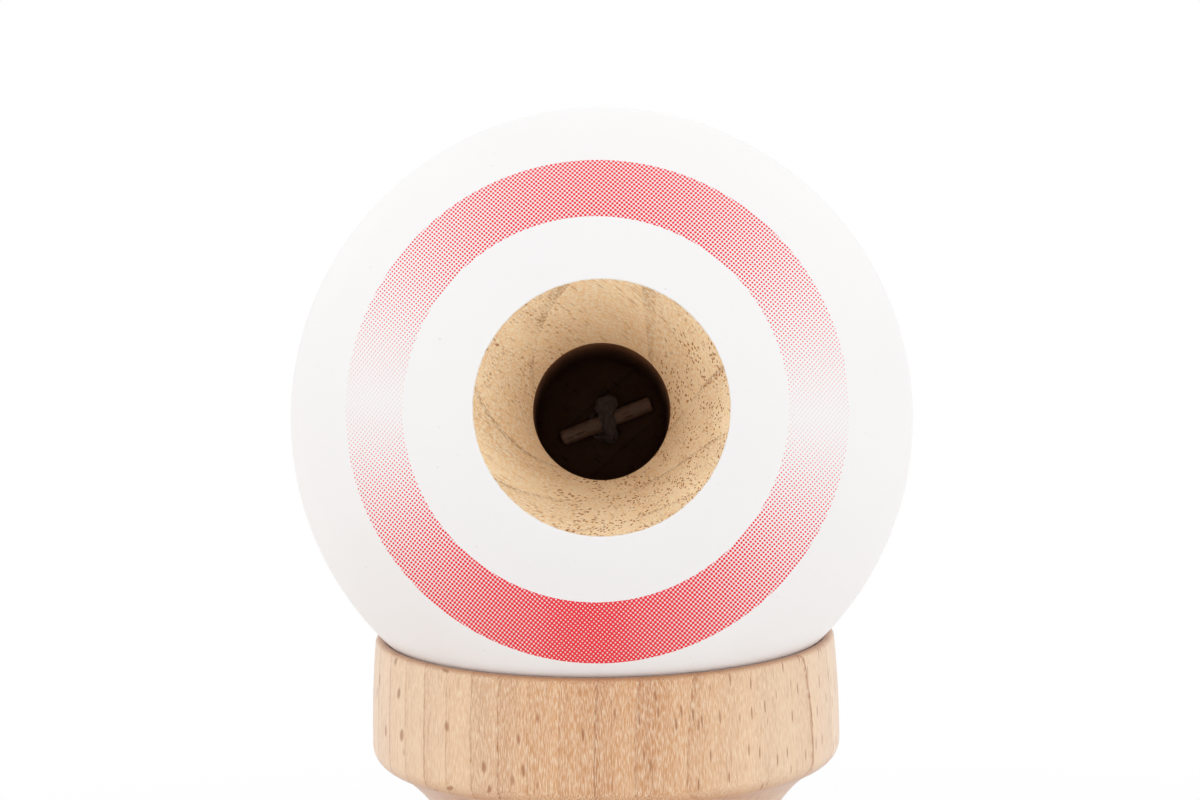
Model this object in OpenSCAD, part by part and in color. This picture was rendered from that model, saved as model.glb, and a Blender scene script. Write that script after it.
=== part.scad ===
// Kendama: a lacquered wooden ball (tama) resting in the big cup of a turned cup piece (sarado).
// The handle (ken) is wedged crosswise through the sarado, and one string ties the ball to both.
// Millimetres, Z up. The origin is the middle of the small cup's rim, on which the toy stands.

/* [Ball] */
// Diameter of the ball
ball_d = 60; // [54:0.5:70]
// Diameter of the straight part of the bore
bore_d = 12.7; // [12:0.1:15]
// Diameter of the flare where it cuts the ball's surface
flare_d = 23.4; // [18:0.1:28]
// Depth of the flare along the bore
flare_depth = 9.9; // [6:0.1:12]
// Distance from the ball's centre to the bottom of the bore
bore_floor = 17.6; // [14:0.1:20]
// Angle by which the bore's mouth is tipped up from level
bore_tip = 10.5; // [0:0.1:20]
// Diameter of the string hole through the back of the ball
ball_hole_d = 2.8; // [2.4:0.1:4]
// Room between the ball and the rim that it rests on
ball_gap = 0.07; // [0.05:0.01:0.3]

/* [Sarado] */
// Length of the sarado from rim to rim
sarado_len = 70; // [62:0.5:80]
// Diameter of the waist
waist_d = 30; // [26:0.5:32]
// Radius of the hollow in its two cups
hollow_r = 27; // [24:0.5:29]
// Diameter of the string hole in the waist
sarado_hole_d = 3; // [2.4:0.1:4]

/* [Big cup] */
// Outer diameter of the band
big_cup_d = 45.5; // [43:0.1:49]
// Height of the band
big_band_h = 12.5; // [10:0.1:15]
// Diameter at which the cove meets the band
big_cove_d = 42.2; // [37:0.1:42.4]
// Radius of the cove
big_cove_r = 13; // [11:0.1:16]

/* [Small cup] */
// Outer diameter of the band
small_cup_d = 41; // [38:0.1:44]
// Height of the band
small_band_h = 10; // [8.5:0.1:11]
// Diameter at which the cove meets the band
small_cove_d = 37.8; // [34:0.1:38]
// Radius of the cove
small_cove_r = 12; // [10:0.1:14]

/* [Rims and bands] */
// Width of the wall at a cup's rim
rim_w = 0.75; // [0.7:0.05:2]
// Radius of a rim's rounded outer edge
rim_round = 0.55; // [0.3:0.05:0.6]
// Radius of a band's rounded lower edge
band_round = 2; // [0.8:0.1:2.2]
// Radius of the swell of a band's side, from its rim out to its lower edge
swell_r = 110; // [60:1:200]

/* [Ken] */
// Length of the ken from the base cup's rim to the tip of the spike
ken_len = 160; // [150:1:180]
// Distance from the sarado's axis to the tip of the spike
spike_reach = 58; // [52:0.5:66]
// Height of the ken's axis above the small cup's rim
ken_height = 33; // [31:0.5:35]
// Diameter of the tapered seat at the sarado's axis
seat_d = 17; // [15:0.1:18]
// How much thinner the seat is on the spike's side than on the handle's
seat_taper = 0.8; // [0.4:0.1:1.2]
// Room between the tapered seat and the sarado
seat_gap = 0.05; // [0.02:0.01:0.1]
// Diameter of the thin end of the handle
neck_d = 15.4; // [13:0.1:16.5]
// Diameter of the thick end of the spike
spike_d = 11.4; // [9:0.1:12]
// Radius of the shoulder between the seat and the spike
shoulder_r = 5; // [3:0.1:7]
// Diameter of the round tip of the spike
tip_d = 6; // [4:0.1:8]
// Diameter of the string hole across the ken
ken_hole_d = 3; // [2.4:0.1:4]

/* [Base cup] */
// Outer diameter of the band
base_cup_d = 38; // [35:0.1:42]
// Height of the band
base_band_h = 9; // [7.5:0.1:10]
// Diameter at which the cove meets the band
base_cove_d = 34.6; // [30:0.1:35]
// Radius of the cove
base_cove_r = 11; // [10:0.1:13]
// Radius of the hollow
base_hollow_r = 24; // [21:0.5:28]

/* [String] */
// Diameter of the string
string_d = 1.5; // [1:0.1:1.8]
// Length of the toggle that stops the string inside the ball
toggle_len = 9.7; // [8:0.1:10]
// Diameter of the toggle
toggle_d = 1.6; // [1.2:0.1:2]
// Turn of the toggle round the bore's axis, up at its right end
toggle_turn = 21; // [0:1:45]
// How far the toggle has slipped along itself from the bore's axis
toggle_slip = 0.5; // [0:0.1:0.7]
// Room between the toggle's ends and the round bottom of the bore
toggle_gap = 0.3; // [0.2:0.05:0.5]
// Diameter of the knot on the toggle
toggle_knot_d = 2.7; // [2:0.1:3]
// Diameter of the stop knot in the ken
ken_knot_d = 4; // [3.4:0.1:4.4]
// Room round the stop knot in its recess
knot_gap = 0.3; // [0.2:0.05:0.5]

/* [Coil of spare string] */
// Radius of the innermost turn
coil_r = 5.6; // [5:0.1:8]
// Distance from one turn to the next one out
coil_step = 2.25; // [2.2:0.05:3]
// Distance from the lower layer of turns to the upper one
coil_lift = 2; // [1.95:0.05:3]

/* [Hidden] */

wood_colour = "burlywood";
lacquer_colour = "whitesmoke";
toggle_colour = "peru";
string_colour = "rosybrown";

// How far a cut runs past what it cuts
overrun = 1;
// Play between the string's loop and the toggle inside it
loop_gap = 0.05;
// How far the short lengths of string stand out of the ball and out of the sarado
ball_stub = 0.3;
sarado_stub = 0.5;

ball_r = ball_d / 2;
bore_r = bore_d / 2;
flare_r = flare_d / 2;
string_r = string_d / 2;
toggle_r = toggle_d / 2;
waist_r = waist_d / 2;

// The ball sits on the inner edge of the big cup's rim.
big_lip_r = lip_radius(big_cup_d, big_band_h);
ball_height = sarado_len + sqrt(pow(ball_r + ball_gap, 2) - pow(big_lip_r, 2));

// Places along the bore, measured from the ball's centre towards the mouth.
flare_edge = sqrt(ball_r * ball_r - flare_r * flare_r);
bore_top = flare_edge - flare_depth;
bore_bottom = bore_r - bore_floor;
toggle_end = toggle_len / 2 - toggle_r;
toggle_reach = bore_r - toggle_r - toggle_gap;
toggle_place = bore_bottom - sqrt(pow(toggle_reach, 2) - pow(toggle_end + toggle_slip, 2));
loop_r = toggle_r + loop_gap + string_r;

// Places along the ken, measured from the sarado's axis towards the tip of the spike.
base_place = spike_reach - ken_len;
handle_start = base_place + base_band_h + cove_height(base_cove_d, base_cove_r, neck_d);
shoulder_start = waist_r + overrun;
shoulder_h = cove_height(2 * seat_radius(shoulder_start), shoulder_r, spike_d);
tip_place = spike_reach - tip_d / 2;
recess_d = ken_knot_d + 2 * knot_gap;
recess_floor = seat_d / 2 - recess_d;

// The string lies loose: it leaves the ball, falls to the table, lies there in a coil of two layers
// and climbs to the hole in the sarado. Its free stretches hang in the plane x = 0.
string_sides = 8;
coil_sides = 6;
coil_rings = 24;
// Turns in each layer, and the part of a turn in which the string climbs to the upper one
coil_turns = 2.25;
climb_turns = 0.5;
from_ball = [[0, 29.8, 85.5], [0, 31.5, 85.2], [0, 33.4, 84.7], [0, 35.2, 83.8], [0, 36.7, 82.5],
             [0, 37.8, 80.8], [0, 38.4, 78.8], [0, 38.5, 76.5], [0, 38.5, 72], [0, 38.5, 67.5],
             [0, 38.5, 63], [0, 38.5, 58.5], [0, 38.5, 54], [0, 38.5, 49.5], [0, 38.5, 45],
             [0, 38.5, 40.5], [0, 38.5, 36], [0, 38.5, 31.5], [0, 38.5, 27], [0, 38.5, 22.5],
             [0, 38.5, 18], [0, 38.5, 13.5], [0, 38.5, 9], [0, 38.3, 6.4], [0, 37.6, 4.5],
             [0, 36.4, 3.3], [0, 35, 2.8], [0, 33.5, 2.8]];
to_sarado = [[0, 30.5, 0.8], [0, 29, 0.8], [0, 27.4, 0.8], [0, 25.8, 1.2], [0, 24.4, 2.2],
             [0, 23.4, 3.7], [0, 23, 5.5], [0, 23, 9.5], [0, 23, 13.5], [0, 23, 18], [0, 23, 22.5],
             [0, 23, 26.5], [0, 22.7, 28.7], [0, 22, 30.6], [0, 20.8, 32], [0, 19.2, 32.8],
             [0, 17.4, 33], [0, 15.5, 33]];
// The coil lies beside the line on which the free stretches come down.
coil_side = [0, 32, 0.8];
coil_wide = coil_r + coil_step * coil_turns;
coil_middle = coil_side - [coil_wide, 0, 0];
coil_total = 2 * coil_turns + climb_turns;
coil_route = concat([coil_side - [0, string_d, 0]],
                    [for (i = [0 : coil_rings * coil_total]) coil_point(i / coil_rings)],
                    [coil_side + [0, string_d, coil_lift]]);

// Radius of the swollen side of a cup's band at its rim, less a margin from its edge
function side_radius(cup_d, band_h, margin) =
    cup_d / 2 - swell_r + sqrt(pow(swell_r - margin, 2) - pow(band_h - band_round - margin, 2));

// Radius of the inner edge of a cup's rim
function lip_radius(cup_d, band_h) = side_radius(cup_d, band_h, 0) - rim_w;

// Height of the cove that leads from a wide diameter down to a stem
function cove_height(wide_d, cove_r, stem_d) =
    sqrt(pow(cove_r, 2) - pow(stem_d / 2 + cove_r - wide_d / 2, 2));

// Radius of the ken's tapered seat at a place along it
function seat_radius(place) = (seat_d - seat_taper * place / waist_d) / 2;

// Place on the coil after a number of turns: in along the table, up half a turn, out on top
function coil_point(turn) =
    let (climb = min(max((turn - coil_turns) / climb_turns, 0), 1),
         inward = min(turn, coil_turns),
         outward = max(turn - coil_turns - climb_turns, 0),
         reach = coil_wide - coil_step * inward + coil_step * outward)
    coil_middle + [reach * cos(360 * turn), reach * sin(360 * turn),
                   coil_lift * (1 - cos(180 * climb)) / 2];

function unit(v) = v / norm(v);

// Direction of a route at one of its points
function heading(route, i) = unit(route[min(i + 1, len(route) - 1)] - route[max(i - 1, 0)]);

// Points round one place on a route
function ring(place, along, side, sides) =
    let (across = unit(cross(along, side)), up = cross(across, along))
    [for (k = [0 : sides - 1])
        place + string_r * (cos(360 * k / sides) * across + sin(360 * k / sides) * up)];

// Least gap between turns, measured between points at least half a turn apart
coil_gap = min([for (i = [0 : len(coil_route) - 1])
                for (j = [i + coil_rings / 2 : 1 : len(coil_route) - 1])
                norm(coil_route[i] - coil_route[j])]) - string_d;
echo(str("least gap between the coil's turns: ", coil_gap, " mm"));

// Length of string outside the ball and the sarado
function route_length(route) = [for (i = [1 : len(route) - 1]) norm(route[i] - route[i - 1])]
                               * [for (i = [1 : len(route) - 1]) 1];
free_length = route_length(from_ball) + route_length(coil_route) + route_length(to_sarado);
echo(str("free length of the string: ", free_length, " mm"));

$fn = 128;
// The swell of a band is a small part of a large circle.
swell_fn = 1440;

// Half outline of a cup whose rim faces up at height 0, with its band and the cove below it
module cup_outline(cup_d, band_h, cove_d, cove_r, stem_d) {
    cup_r = cup_d / 2;
    cove_h = cove_height(cove_d, cove_r, stem_d);
    widest = band_round - band_h;
    rim_middle = side_radius(cup_d, band_h, rim_round);
    side_h = swell_r * (-widest - rim_round) / (swell_r - rim_round);
    translate([0, -band_h]) square([cup_r - band_round, band_h - rim_round]);
    translate([cup_r - band_round, widest]) circle(band_round);
    intersection() {
        translate([0, widest]) square([cup_r, side_h]);
        translate([cup_r - swell_r, widest]) circle(swell_r, $fn = swell_fn);
    }
    translate([0, -band_h / 2]) square([rim_middle, band_h / 2]);
    translate([rim_middle, -rim_round]) circle(rim_round);
    difference() {
        translate([0, -band_h - cove_h]) square([cove_d / 2, cove_h + band_round]);
        translate([stem_d / 2 + cove_r, -band_h - cove_h]) circle(cove_r);
    }
}

// Round hollow that meets a cup's rim at the inner edge of its wall
module cup_hollow(cup_d, band_h, radius) {
    translate([0, sqrt(radius * radius - pow(lip_radius(cup_d, band_h), 2))]) circle(radius);
}

// Half outline of the sarado, from the small cup's rim up to the big cup's
module sarado_outline() {
    difference() {
        union() {
            translate([0, sarado_len])
                cup_outline(big_cup_d, big_band_h, big_cove_d, big_cove_r, waist_d);
            mirror([0, 1])
                cup_outline(small_cup_d, small_band_h, small_cove_d, small_cove_r, waist_d);
            translate([0, small_band_h]) square([waist_r, sarado_len - small_band_h - big_band_h]);
        }
        translate([0, sarado_len]) cup_hollow(big_cup_d, big_band_h, hollow_r);
        mirror([0, 1]) cup_hollow(small_cup_d, small_band_h, hollow_r);
    }
}

// Tapered hole for the ken, long enough to clear both cups
module ken_passage() {
    reach = big_cup_d / 2;
    rotate([0, 90, 0]) translate([0, 0, -reach])
        cylinder(h = 2 * reach, r1 = seat_radius(-reach) + seat_gap, r2 = seat_radius(reach) + seat_gap);
}

// Cup piece: two cups back to back on a waist, bored across for the ken and for the string
module sarado() {
    color(wood_colour) difference() {
        rotate_extrude() sarado_outline();
        translate([0, 0, ken_height]) {
            ken_passage();
            rotate([-90, 0, 0]) cylinder(h = big_cup_d / 2, d = sarado_hole_d);
        }
    }
}

// Half outline of the ken, with the base cup at the bottom and the spike at the top
module ken_outline() {
    difference() {
        union() {
            translate([0, base_place]) mirror([0, 1])
                cup_outline(base_cup_d, base_band_h, base_cove_d, base_cove_r, neck_d);
            polygon([[0, base_place + base_band_h], [neck_d / 2, base_place + base_band_h],
                     [neck_d / 2, handle_start], [seat_radius(-waist_r), -waist_r],
                     [seat_radius(shoulder_start), shoulder_start], [0, shoulder_start]]);
            difference() {
                square([seat_radius(shoulder_start), shoulder_start + shoulder_h]);
                translate([spike_d / 2 + shoulder_r, shoulder_start + shoulder_h]) circle(shoulder_r);
            }
            polygon([[0, shoulder_start], [spike_d / 2, shoulder_start],
                     [spike_d / 2, shoulder_start + shoulder_h], [tip_d / 2, tip_place], [0, tip_place]]);
            intersection() {
                translate([0, tip_place]) circle(d = tip_d);
                translate([0, tip_place - tip_d]) square([tip_d, 2 * tip_d]);
            }
        }
        translate([0, base_place]) mirror([0, 1]) cup_hollow(base_cup_d, base_band_h, base_hollow_r);
    }
}

// Handle piece: base cup, handle, tapered seat and spike in one turning, with its string hole
module ken() {
    color(wood_colour) translate([0, 0, ken_height]) difference() {
        rotate([0, 90, 0]) rotate_extrude() ken_outline();
        rotate([90, 0, 0]) {
            cylinder(h = seat_d + overrun, d = ken_hole_d, center = true);
            translate([0, 0, recess_floor]) cylinder(h = recess_d + overrun, d = recess_d);
        }
    }
}

// Puts what is drawn along Z onto the bore's axis, with the ball's centre at 0 and the mouth up
module on_bore() {
    translate([0, 0, ball_height]) rotate([90 - bore_tip, 0, 0]) children();
}

// Ball with its flared, round-bottomed bore and the string hole behind it
module tama() {
    color(lacquer_colour) on_bore() difference() {
        sphere(ball_r);
        translate([0, 0, bore_bottom]) sphere(bore_r);
        translate([0, 0, bore_bottom]) cylinder(h = ball_r, r = bore_r);
        translate([0, 0, bore_top]) flare_cut();
        translate([0, 0, -ball_r - overrun]) cylinder(h = ball_r, d = ball_hole_d);
    }
}

// Cone of the flare, carried on past the ball's surface at the same slope
module flare_cut() {
    spread = (flare_r - bore_r) / flare_depth;
    cut_h = ball_r - bore_top + overrun;
    cylinder(h = cut_h, r1 = bore_r, r2 = bore_r + spread * cut_h);
}

// Puts what is drawn along X onto the toggle
module on_toggle() {
    on_bore() translate([0, 0, toggle_place]) rotate([0, 0, toggle_turn])
        translate([toggle_slip, 0, 0]) children();
}

// Short wooden stick across the bottom of the bore
module toggle() {
    color(toggle_colour) on_toggle() rotate([0, 90, 0]) {
        cylinder(h = 2 * toggle_end, r = toggle_r, center = true);
        for (side = [-1, 1]) translate([0, 0, side * toggle_end]) sphere(toggle_r);
    }
}

// End of the string: its loop and knot round the toggle, and the length in the ball's string hole
module string_in_ball() {
    color(string_colour) {
        on_toggle() {
            rotate([0, 90, 0]) rotate_extrude() translate([loop_r, 0]) circle(string_r);
            difference() {
                translate([0, loop_r, 0]) sphere(d = toggle_knot_d);
                rotate([0, 90, 0]) cylinder(h = 2 * toggle_knot_d, r = toggle_r + loop_gap, center = true);
            }
        }
        on_bore() translate([0, 0, -ball_r - ball_stub])
            cylinder(h = ball_r + ball_stub + toggle_place - loop_r, r = string_r);
    }
}

// One unbroken tube of string along a route
module string_tube(route, side, sides) {
    rings = len(route);
    last = (rings - 1) * sides;
    points = [for (i = [0 : rings - 1]) each ring(route[i], heading(route, i), side, sides)];
    walls = [for (i = [0 : rings - 2]) for (k = [0 : sides - 1])
        each let (a = i * sides + k, b = i * sides + (k + 1) % sides)
            [[a, b, b + sides], [a, b + sides, a + sides]]];
    start_cap = [for (k = [1 : sides - 2]) [0, k + 1, k]];
    end_cap = [for (k = [1 : sides - 2]) [last, last + k, last + k + 1]];
    color(string_colour) polyhedron(points, concat(walls, start_cap, end_cap), convexity = sides);
}

// String hanging from the ball down to the coil
module string_from_ball() {
    string_tube(from_ball, [1, 0, 0], string_sides);
}

// Spare string coiled on the table
module string_coil() {
    string_tube(coil_route, [0, 0, 1], coil_sides);
}

// String climbing from the coil to the sarado
module string_to_sarado() {
    string_tube(to_sarado, [1, 0, 0], string_sides);
}

// Other end of the string: through the sarado's wall and the ken, with its stop knot in the recess
module string_in_sarado() {
    knot_place = recess_floor + knot_gap + ken_knot_d / 2;
    color(string_colour) translate([0, 0, ken_height]) rotate([90, 0, 0]) {
        translate([0, 0, -waist_r - sarado_stub])
            cylinder(h = waist_r + sarado_stub + knot_place, r = string_r);
        translate([0, 0, knot_place]) sphere(d = ken_knot_d);
    }
}

sarado();
ken();
tama();
toggle();
string_in_ball();
string_from_ball();
string_coil();
string_to_sarado();
string_in_sarado();
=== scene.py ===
import math
import random

import bmesh
import bpy
from mathutils import Matrix, Vector


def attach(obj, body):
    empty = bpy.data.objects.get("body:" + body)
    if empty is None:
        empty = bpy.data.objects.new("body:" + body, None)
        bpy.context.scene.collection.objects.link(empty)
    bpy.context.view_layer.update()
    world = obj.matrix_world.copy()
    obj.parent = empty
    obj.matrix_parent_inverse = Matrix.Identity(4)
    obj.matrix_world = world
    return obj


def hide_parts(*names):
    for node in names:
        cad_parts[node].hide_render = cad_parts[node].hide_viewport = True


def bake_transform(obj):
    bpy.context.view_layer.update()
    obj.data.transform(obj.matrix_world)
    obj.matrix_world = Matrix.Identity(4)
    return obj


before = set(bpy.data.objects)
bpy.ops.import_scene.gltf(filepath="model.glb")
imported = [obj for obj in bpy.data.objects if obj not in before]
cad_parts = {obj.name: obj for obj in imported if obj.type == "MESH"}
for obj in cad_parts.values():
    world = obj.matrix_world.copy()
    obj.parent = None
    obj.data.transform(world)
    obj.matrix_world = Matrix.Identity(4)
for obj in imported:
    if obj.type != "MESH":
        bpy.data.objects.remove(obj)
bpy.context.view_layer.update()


# Sarado: the cup piece, a big cup and a small cup back to back on a waist. It is turned from one
# block of beech with the fibres along its axis, sanded and left bare, then bored across for the
# handle and for the string.
MM = 0.001
SARADO_LEN, WAIST_R, HOLLOW_R = 70, 15, 27
RIM_W, RIM_ROUND, RIM_EASE, RIM_ANGLE = 0.75, 0.55, 0.06, 0.2
BAND_ROUND, SWELL_R = 2, 110
BIG_CUP = dict(cup_d=45.5, band_h=12.5, cove_d=42.2, cove_r=13, stem_r=WAIST_R, hollow_r=HOLLOW_R)
SMALL_CUP = dict(cup_d=41, band_h=10, cove_d=37.8, cove_r=12, stem_r=WAIST_R, hollow_r=HOLLOW_R)
KEN_HEIGHT = 33
SEAT_D, SEAT_TAPER, SEAT_GAP = 17, 0.8, 0.05
SARADO_HOLE_D, HOLE_EASE = 3, 0.35
SARADO_STEPS, SHARP_ANGLE = 256, 35
# Points closer than this, in mm or in metres, are one point.
SAME_POINT = 1e-6
# A mix node's colour sockets go by number, because its sockets of other kinds share their names.
MIX_A, MIX_B, RGBA = 6, 7, {"data_type": "RGBA", "out": 2}


def linear(colour):
    """A colour written as sRGB hex, as linear red, green, blue and alpha."""
    shares = [int(colour[i : i + 2], 16) / 255 for i in (1, 3, 5)]
    return (*(s / 12.92 if s <= 0.04045 else ((s + 0.055) / 1.055) ** 2.4 for s in shares), 1)


def add(tree, kind, inputs=None, out=0, **settings):
    """A new node with its settings. Each input, by name or number, is a fixed value or another
    node's socket. Gives one output of the node, by name or number, or all of them for None."""
    node = tree.nodes.new(kind)
    for name, value in settings.items():
        setattr(node, name, value)
    for name, value in (inputs or {}).items():
        if isinstance(value, bpy.types.NodeSocket):
            tree.links.new(value, node.inputs[name])
        else:
            node.inputs[name].default_value = value
    return node.outputs if out is None else node.outputs[out]


def arc(middle, radius, start, end, steps):
    """Points (radius, height) of a round in an outline, in mm, between two angles in degrees."""
    angles = [math.radians(start + (end - start) * i / steps) for i in range(steps + 1)]
    return [(middle[0] + radius * math.cos(a), middle[1] + radius * math.sin(a)) for a in angles]


def cup_outline(cup_d, band_h, cove_d, cove_r, stem_r, hollow_r):
    """Half outline of a cup whose rim faces up at height 0, from the bottom of its hollow to the
    end of its cove."""
    cup_r, cove_edge, widest = cup_d / 2, cove_d / 2, BAND_ROUND - band_h
    # The band's side swells from the rim to its widest place, where its lower edge starts to round.
    side_middle = (cup_r - SWELL_R, widest)
    lip_r = side_middle[0] + math.sqrt(SWELL_R**2 - widest**2) - RIM_W
    rim_middle = side_middle[0] + math.sqrt((SWELL_R - RIM_ROUND) ** 2 - (widest + RIM_ROUND) ** 2)
    side_start = math.degrees(math.asin((-widest - RIM_ROUND) / (SWELL_R - RIM_ROUND)))
    hollow_middle = math.sqrt(hollow_r**2 - lip_r**2)
    hollow_edge = -math.degrees(math.atan2(hollow_middle, lip_r))
    round_end = -math.degrees(math.acos((cove_edge - cup_r) / BAND_ROUND + 1))
    cove_h = math.sqrt(cove_r**2 - (stem_r + cove_r - cove_edge) ** 2)
    cove_middle = (stem_r + cove_r, -band_h - cove_h)
    cove_start = math.degrees(math.atan2(cove_h, cove_edge - cove_middle[0]))
    return [
        *arc((0, hollow_middle), hollow_r, -90, hollow_edge - RIM_ANGLE, steps=34),
        (lip_r + RIM_EASE, 0),
        *arc((rim_middle, -RIM_ROUND), RIM_ROUND, 90, side_start, steps=10),
        *arc(side_middle, SWELL_R, side_start, 0, steps=12)[1:],
        *arc((cup_r - BAND_ROUND, widest), BAND_ROUND, 0, round_end, steps=16)[1:],
        *arc(cove_middle, cove_r, cove_start, 180, steps=36),
    ]


def closely_spaced(outline, longest=1.0, support=0.06):
    """The outline with points added on its long straights, two of them close to the ends to keep
    the shading flat."""
    points = [outline[0]]
    for (r0, z0), (r1, z1) in zip(outline, outline[1:]):
        length = math.hypot(r1 - r0, z1 - z0)
        if length < SAME_POINT:
            continue
        shares = [1]
        if length > longest:
            pieces = math.ceil(length / longest)
            between = [i / pieces for i in range(1, pieces)]
            shares = [support / length, *between, 1 - support / length, 1]
        points += [(r0 + (r1 - r0) * s, z0 + (z1 - z0) * s) for s in shares]
    return points


def new_tree(name, inputs, output):
    """A Geometry Nodes tree with named inputs of given kinds and one output, and its inputs."""
    tree = bpy.data.node_groups.new(name, "GeometryNodeTree")
    for label, kind in inputs.items():
        tree.interface.new_socket(label, in_out="INPUT", socket_type="NodeSocket" + kind)
    tree.interface.new_socket(output, in_out="OUTPUT", socket_type="NodeSocketGeometry")
    return tree, add(tree, "NodeGroupInput", out=None)


def end_tree(tree, geometry, material, output):
    """The end of a tree: smooth and real geometry in its material, given to the output."""
    smooth = add(tree, "GeometryNodeSetShadeSmooth", {"Geometry": geometry})
    real = add(tree, "GeometryNodeRealizeInstances", {"Geometry": smooth})
    dressed = add(tree, "GeometryNodeSetMaterial", {"Geometry": real, "Material": material})
    add(tree, "NodeGroupOutput", {output: dressed}, out=None)


lathe, given = new_tree(
    "turned_on_a_lathe",
    {"Half outline": "Geometry", "Steps round": "Int", "Material": "Material"},
    "Turned piece",
)
half_outline, steps_round = given["Half outline"], given["Steps round"]
rows = add(lathe, "GeometryNodeAttributeDomainSize", {"Geometry": half_outline}, "Point Count")
steps_and_seam = add(lathe, "ShaderNodeMath", {0: steps_round, 1: 1.0}, operation="ADD")
sheet = add(lathe, "GeometryNodeMeshGrid", {"Vertices X": rows, "Vertices Y": steps_and_seam})
index = add(lathe, "GeometryNodeInputIndex")
row_share = add(lathe, "ShaderNodeMath", {0: index, 1: steps_and_seam}, operation="DIVIDE")
row = add(lathe, "ShaderNodeMath", {0: row_share}, operation="FLOOR")
step = add(lathe, "ShaderNodeMath", {0: index, 1: steps_and_seam}, operation="MODULO")
turn_share = add(lathe, "ShaderNodeMath", {0: step, 1: steps_round}, operation="DIVIDE")
angle = add(lathe, "ShaderNodeMath", {0: turn_share, 1: 2 * math.pi}, operation="MULTIPLY")
place = add(lathe, "GeometryNodeInputPosition")
on_outline = add(
    lathe,
    "GeometryNodeSampleIndex",
    {"Geometry": half_outline, "Value": place, "Index": row},
    "Value",
    data_type="FLOAT_VECTOR",
)
turned_place = add(
    lathe,
    "ShaderNodeVectorRotate",
    {"Vector": on_outline, "Axis": (0, 0, 1), "Angle": angle},
    rotation_type="AXIS_ANGLE",
)
turned_sheet = add(lathe, "GeometryNodeSetPosition", {"Geometry": sheet, "Position": turned_place})
closed = add(
    lathe, "GeometryNodeMergeByDistance", {"Geometry": turned_sheet, "Distance": SAME_POINT}
)
end_tree(lathe, closed, given["Material"], "Turned piece")


def new_object(name, mesh):
    """An object for a mesh, in the scene, at the origin."""
    piece = bpy.data.objects.new(name, mesh)
    bpy.context.scene.collection.objects.link(piece)
    return piece


def made_plain(piece):
    """The piece with its modifiers turned into a plain mesh."""
    evaluated = piece.evaluated_get(bpy.context.evaluated_depsgraph_get())
    mesh = bpy.data.meshes.new_from_object(evaluated)
    piece.modifiers.clear()
    old = piece.data
    piece.data = mesh
    bpy.data.meshes.remove(old)
    mesh.name = piece.name
    # A mesh that a tree makes has an empty first slot before its material.
    used = [m for m in mesh.materials if m]
    mesh.materials.clear()
    for material in used:
        mesh.materials.append(material)
    mesh.polygons.foreach_set("material_index", [0] * len(mesh.polygons))
    return piece


def from_tree(name, tree, points, **sizes):
    """A piece that a tree makes of a line of points in metres. A size's name has _ for each space
    of its input."""
    line = bpy.data.meshes.new(name)
    line.from_pydata(points, [(i, i + 1) for i in range(len(points) - 1)], [])
    piece = new_object(name, line)
    modifier = piece.modifiers.new("made", "NODES")
    modifier.node_group = tree
    inputs = {s.name: s.identifier for s in tree.interface.items_tree if s.in_out == "INPUT"}
    for size, value in sizes.items():
        modifier[inputs[size.replace("_", " ")]] = value
    return made_plain(piece)


def turned(name, outline, steps, material, placed=Matrix()):
    """A turned piece from its half outline in mm, moved from the lathe's axis (Z) to its place."""
    points = [(r * MM, 0, z * MM) for r, z in outline]
    piece = from_tree(name, lathe, points, Steps_round=steps, Material=material)
    piece.data.transform(placed)
    outwards = bmesh.new()
    outwards.from_mesh(piece.data)
    bmesh.ops.recalc_face_normals(outwards, faces=outwards.faces)
    outwards.to_mesh(piece.data)
    outwards.free()
    piece.data.set_sharp_from_angle(angle=math.radians(SHARP_ANGLE))
    return piece


def drill(name, radii, length, placed):
    """A round cutter, its two radii and length in mm, drawn up from height 0 and moved to its
    place."""
    cutter = bmesh.new()
    bmesh.ops.create_cone(
        cutter,
        cap_ends=True,
        segments=96,
        radius1=radii[0] * MM,
        radius2=radii[1] * MM,
        depth=length * MM,
        matrix=placed @ Matrix.Translation((0, 0, length * MM / 2)),
    )
    mesh = bpy.data.meshes.new(name)
    cutter.to_mesh(mesh)
    cutter.free()
    return new_object(name, mesh)


def drilled(piece, cutters):
    """The piece with what its cutters take out removed, and sharp edges only where the cut is."""
    for cutter in cutters:
        cut = piece.modifiers.new("cut", "BOOLEAN")
        cut.operation, cut.solver, cut.object = "DIFFERENCE", "EXACT", cutter
    made_plain(piece)
    for cutter in cutters:
        bpy.data.meshes.remove(cutter.data)
    piece.data.shade_smooth()
    piece.data.set_sharp_from_angle(angle=math.radians(SHARP_ANGLE))
    return piece


def new_material(name):
    """A new material, its tree and its shader."""
    material = bpy.data.materials.new(name)
    material.use_nodes = True
    return material, material.node_tree, material.node_tree.nodes["Principled BSDF"]


def in_mm(tree, place, axes):
    """The piece's own coordinates in mm, from a place in metres and along axes of their own."""
    at = add(tree, "ShaderNodeTexCoord", out="Object")
    return add(
        tree,
        "ShaderNodeMapping",
        {"Vector": at, "Location": place, "Rotation": axes.to_euler(), "Scale": (MM, MM, MM)},
        vector_type="TEXTURE",
    )


# Sizes of what shows in beech, in mm, the last of three along the fibres.
STREAK_SIZE, RAY_SPACING, DRIFT_SIZE = (4, 4, 70), (3.0, 0.6, 3.8), (1.6, 1.6, 20)
RING_STRETCH, PORE_LEN, FIBRE_HEIGHT = 10, 4, 0.04
# The lathe's marks: their scale per mm, and their height as a share of a fibre's.
MARK_SCALE, MARK_SHARE = 7, 0.8
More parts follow.
